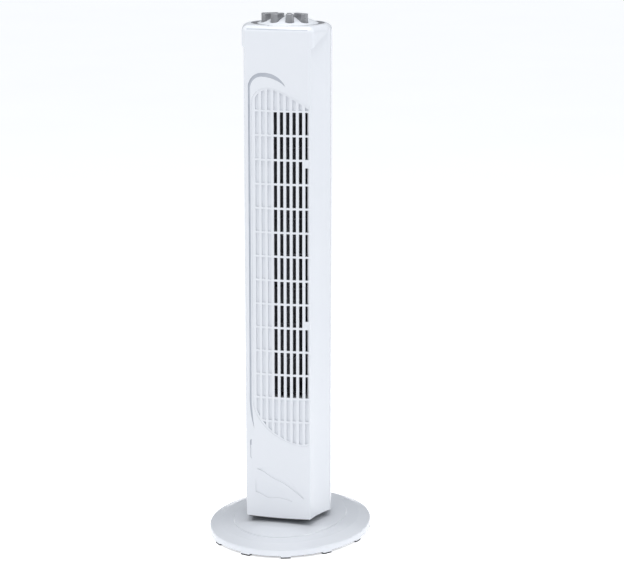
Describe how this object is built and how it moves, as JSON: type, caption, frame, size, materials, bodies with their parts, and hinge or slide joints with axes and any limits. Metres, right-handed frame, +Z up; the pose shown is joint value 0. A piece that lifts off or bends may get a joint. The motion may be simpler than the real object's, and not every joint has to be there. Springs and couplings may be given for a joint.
{
  "type": "tower fan",
  "caption": "White oscillating tower fan: slotted front outlet, rear intake grille, press keys on top, crossflow rotor and motor inside, oval weighted base.",
  "frame": {"origin": "centre of the base, on the surface that the fan stands on; the swing axis is the Z axis", "axes": "+Z up along the swing axis, the front faces -Y, +X is on the right of someone who looks at the front"},
  "size_m": [0.2234, 0.277, 0.73],
  "materials": {
    "gloss_white": "glossy moulded white plastic",
    "white_inner": "satin white moulding",
    "grey_trim": "dark grey satin",
    "dark_plastic": "black moulded plastic",
    "black_rubber": "matt",
    "zinc_steel": "zinc plated",
    "ballast_iron": "as cast",
    "lamination_steel": "stacked laminations",
    "copper_winding": "enamelled wire",
    "bronze_bush": "sintered",
    "rotor_plastic": "dark moulded plastic",
    "component_shell": "grey casing",
    "acetal": "natural acetal",
    "silver_key": "silver plated plastic"
  },
  "bodies": {
    "base": {"base_cover": "gloss_white", "base_plate": "dark_plastic", "base_screws": "zinc_steel", "rubber_feet": "black_rubber", "ballast_weight": "ballast_iron", "pivot_post": "acetal", "pivot_screws": "zinc_steel", "slide_washer": "acetal", "swing_yoke": "acetal"},
    "rotor": {"crossflow_rotor": "rotor_plastic", "rotor_shaft": "zinc_steel", "rotor_tip_pin": "zinc_steel", "motor_rotor": "lamination_steel"},
    "crank": {"swing_crank": "acetal", "swing_shaft": "zinc_steel"},
    "key_swing": {"key_swing": "silver_key"},
    "key_stop": {"key_stop": "silver_key"},
    "key_low": {"key_low": "silver_key"},
    "key_high": {"key_high": "silver_key"},
    "tower": {"air_duct": "white_inner", "air_tongue": "white_inner", "bottom_cap": "dark_plastic", "cord_gland": "black_rubber", "front_cover": "gloss_white", "intake_grille": "gloss_white", "lower_bulkhead": "white_inner", "motor_bolts": "zinc_steel", "motor_bushes": "bronze_bush", "motor_coils": "copper_winding", "motor_lower_shield": "zinc_steel", "motor_stator": "lamination_steel", "motor_upper_shield": "zinc_steel", "panel_bezel": "grey_trim", "rear_housing": "gloss_white", "run_capacitor": "component_shell", "side_screws": "zinc_steel", "swing_motor": "component_shell", "swing_motor_screws": "zinc_steel", "switch_block": "dark_plastic", "switch_frame": "dark_plastic", "terminal_block": "dark_plastic", "top_panel": "gloss_white", "upper_bulkhead": "white_inner", "upper_bush": "bronze_bush"}
  },
  "joints": [
    {"name": "tower_swing", "type": "hinge", "parent": "base", "child": "tower", "pos_m": [0, 0, 0.0465], "axis": [0, 0, 1], "range_deg": [-35, 35]},
    {"name": "crank_turn", "type": "hinge", "parent": "tower", "child": "crank", "pos_m": [0, 0.02, 0.06], "axis": [0, 0, 1], "range_deg": [-88, 88]},
    {"name": "rotor_spin", "type": "hinge", "parent": "tower", "child": "rotor", "pos_m": [0.006, -0.002, 0.4], "axis": [0, 0, 1], "continuous": true},
    {"name": "key_swing_press", "type": "slide", "parent": "tower", "child": "key_swing", "axis": [0, 0, -1], "range_m": [0, 0.004], "stiffness_N_per_m": 300, "springref_m": -0.001},
    {"name": "key_stop_press", "type": "slide", "parent": "tower", "child": "key_stop", "axis": [0, 0, -1], "range_m": [0, 0.004], "stiffness_N_per_m": 300, "springref_m": -0.001},
    {"name": "key_low_press", "type": "slide", "parent": "tower", "child": "key_low", "axis": [0, 0, -1], "range_m": [0, 0.004], "stiffness_N_per_m": 300, "springref_m": -0.001},
    {"name": "key_high_press", "type": "slide", "parent": "tower", "child": "key_high", "axis": [0, 0, -1], "range_m": [0, 0.004], "stiffness_N_per_m": 300, "springref_m": -0.001}
  ],
  "couplings": [
    {"joint": "crank_turn", "follows": "tower_swing", "ratio": -2.5}
  ]
}
